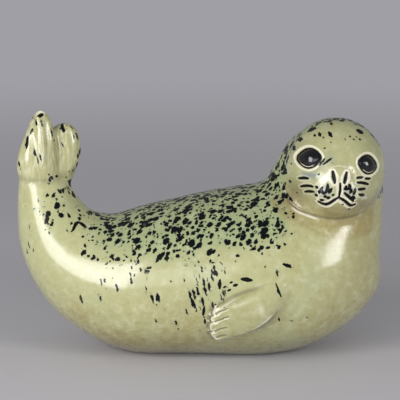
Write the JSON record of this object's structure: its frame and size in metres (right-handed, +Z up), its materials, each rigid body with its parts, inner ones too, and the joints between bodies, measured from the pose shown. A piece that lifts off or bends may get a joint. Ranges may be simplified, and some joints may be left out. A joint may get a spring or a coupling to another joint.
{
  "type": "seal figurine",
  "caption": "Hollow glazed stoneware figurine of a seal lying on its belly, tail raised, head turned, with incised face and toes.",
  "frame": {"origin": "middle of the figure's box in X and Y, on the surface that the figure stands on", "axes": "+Z up; +X from the raised tail to the chest, along the figure's length; the face looks along -Y"},
  "size_m": [0.2292, 0.1186, 0.1547],
  "materials": {
    "celadon_glaze": "glossy celadon glaze with dark speckles"
  },
  "bodies": {
    "root": {"seal": "celadon_glaze"}
  },
  "joints": []
}
